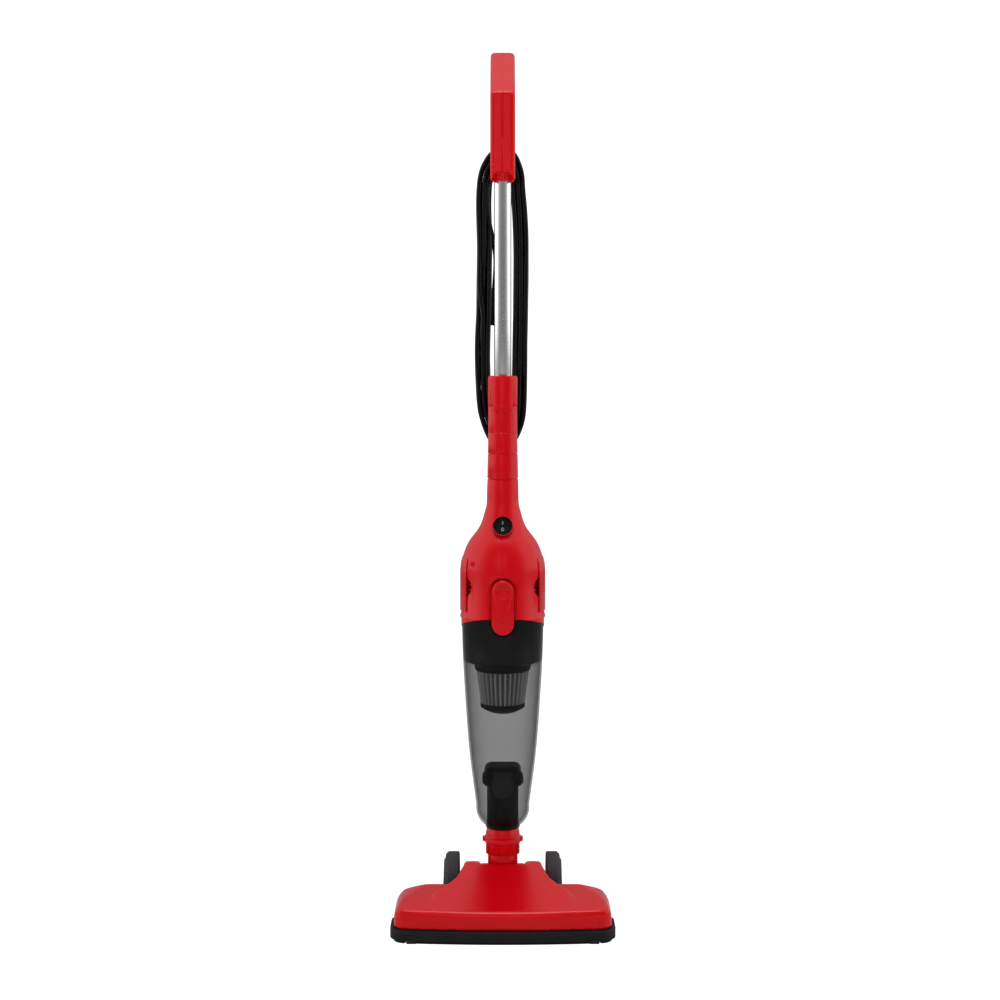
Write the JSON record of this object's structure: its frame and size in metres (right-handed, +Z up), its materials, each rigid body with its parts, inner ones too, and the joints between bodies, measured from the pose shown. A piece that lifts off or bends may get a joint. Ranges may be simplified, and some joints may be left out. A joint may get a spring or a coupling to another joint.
{
  "type": "upright vacuum cleaner",
  "caption": "Slim upright vacuum cleaner: wide wheeled floor head, tilting swivel neck, see-through dust cup, motor body with switch, tube wand, loop handle and cord wound on two hooks.",
  "frame": {"origin": "on the floor under the middle of the machine's bounding box, measured without the free cord", "axes": "+Z up along the wand, -Y towards the front of the floor head, +X to the right seen from the front"},
  "size_m": [0.277, 0.2189, 1.1173],
  "materials": {
    "red_shell": "glossy moulded plastic",
    "smoke_clear": "clear smoke-tinted plastic",
    "black_plastic": "satin moulded plastic",
    "wheel_grey": "fine grained plastic",
    "soft_rubber": "soft matt rubber",
    "cord_jacket": "shiny flexible cord jacket",
    "bristle": "short nylon bristle",
    "steel": "bright zinc plated",
    "chrome_tube": "satin chrome plated steel",
    "filter_paper": "pleated filter paper",
    "motor_iron": "laminated iron and winding, lacquered",
    "fan_alloy": "pressed sheet",
    "carbon": "graphite block",
    "brass": "turned, bright"
  },
  "bodies": {
    "floor_head": {"nozzle_cover": "red_shell", "base_plate": "black_plastic", "base_screws": "steel", "bumper_strip": "soft_rubber", "brush_strips": "bristle", "air_duct": "black_plastic", "pivot_blocks": "black_plastic", "wheel_axles": "steel", "roller_pins": "steel"},
    "rear_wheel_left": {"wheel_left": "wheel_grey", "tyre_left": "soft_rubber"},
    "rear_wheel_right": {"wheel_right": "wheel_grey", "tyre_right": "soft_rubber"},
    "roller_left": {"front_roller_left": "wheel_grey"},
    "roller_right": {"front_roller_right": "wheel_grey"},
    "tilt_frame": {"tilt_barrel": "red_shell", "swivel_clip": "steel"},
    "swivel_neck": {"neck_sleeve": "red_shell", "neck_seal": "soft_rubber"},
    "cup_unit": {"dust_cup": "smoke_clear", "inlet_duct": "black_plastic", "flap_pin": "steel"},
    "flap": {"inlet_flap": "soft_rubber"},
    "filter": {"filter_frame": "black_plastic", "filter_pleats": "filter_paper", "filter_cap": "black_plastic"},
    "rotor": {"motor_shaft": "steel", "fan_impeller": "fan_alloy", "armature": "motor_iron"},
    "lever": {"release_lever": "red_shell"},
    "rocker": {"rocker_button": "black_plastic"},
    "motor_body": {"motor_bulkhead": "black_plastic", "cup_seal": "soft_rubber", "motor_seal": "soft_rubber", "fan_shroud": "black_plastic", "motor_stator": "motor_iron", "carbon_brushes": "carbon", "rear_mount": "soft_rubber", "body_left": "red_shell", "body_right": "red_shell", "vent_grilles": "black_plastic", "side_bands": "red_shell", "switch_bezel": "red_shell", "switch_housing": "black_plastic", "lever_bracket": "red_shell", "lever_pin": "steel", "lever_spring": "steel", "shell_screws": "steel", "lower_hook": "black_plastic", "strain_relief": "soft_rubber", "wand_adapter": "red_shell", "wand_tube": "chrome_tube", "handle_left": "red_shell", "handle_right": "red_shell", "upper_hook": "black_plastic", "power_cord": "cord_jacket", "cord_hank": "cord_jacket", "cord_tail": "cord_jacket", "plug_body": "black_plastic", "plug_pins": "brass"}
  },
  "joints": [
    {"name": "wheel_left_spin", "type": "hinge", "parent": "floor_head", "child": "rear_wheel_left", "pos_m": [-0.065, 0.0315, 0.04], "axis": [1, 0, 0], "continuous": true},
    {"name": "wheel_right_spin", "type": "hinge", "parent": "floor_head", "child": "rear_wheel_right", "pos_m": [0.065, 0.0315, 0.04], "axis": [1, 0, 0], "continuous": true},
    {"name": "roller_left_spin", "type": "hinge", "parent": "floor_head", "child": "roller_left", "pos_m": [-0.112, -0.0905, 0.008], "axis": [1, 0, 0], "continuous": true},
    {"name": "roller_right_spin", "type": "hinge", "parent": "floor_head", "child": "roller_right", "pos_m": [0.112, -0.0905, 0.008], "axis": [1, 0, 0], "continuous": true},
    {"name": "neck_tilt", "type": "hinge", "parent": "floor_head", "child": "tilt_frame", "pos_m": [0, 0.0315, 0.04], "axis": [-1, 0, 0], "range_deg": [0, 80]},
    {"name": "neck_swivel", "type": "hinge", "parent": "tilt_frame", "child": "swivel_neck", "pos_m": [0, 0.0155, 0.09], "axis": [0, 0, 1], "continuous": true},
    {"name": "neck_pull", "type": "slide", "parent": "swivel_neck", "child": "cup_unit", "axis": [0, 0, 1], "range_m": [0, 0.045]},
    {"name": "cup_release", "type": "slide", "parent": "cup_unit", "child": "motor_body", "axis": [0, 0, 1], "range_m": [0, 0.12]},
    {"name": "flap_swing", "type": "hinge", "parent": "cup_unit", "child": "flap", "pos_m": [0, -0.0072, 0.189], "axis": [-1, 0, 0], "range_deg": [0, 16]},
    {"name": "filter_pull", "type": "slide", "parent": "motor_body", "child": "filter", "axis": [0, 0, -1], "range_m": [0, 0.038]},
    {"name": "motor_spin", "type": "hinge", "parent": "motor_body", "child": "rotor", "pos_m": [0, 0.0155, 0.4], "axis": [0, 0, 1], "continuous": true},
    {"name": "lever_press", "type": "hinge", "parent": "motor_body", "child": "lever", "pos_m": [0, -0.029, 0.412], "axis": [-1, 0, 0], "range_deg": [0, 7], "stiffness_Nm_per_rad": 0.2},
    {"name": "switch_rock", "type": "hinge", "parent": "motor_body", "child": "rocker", "pos_m": [0, -0.01578, 0.50373], "axis": [-1, 0, 0], "range_deg": [0, 14]}
  ]
}
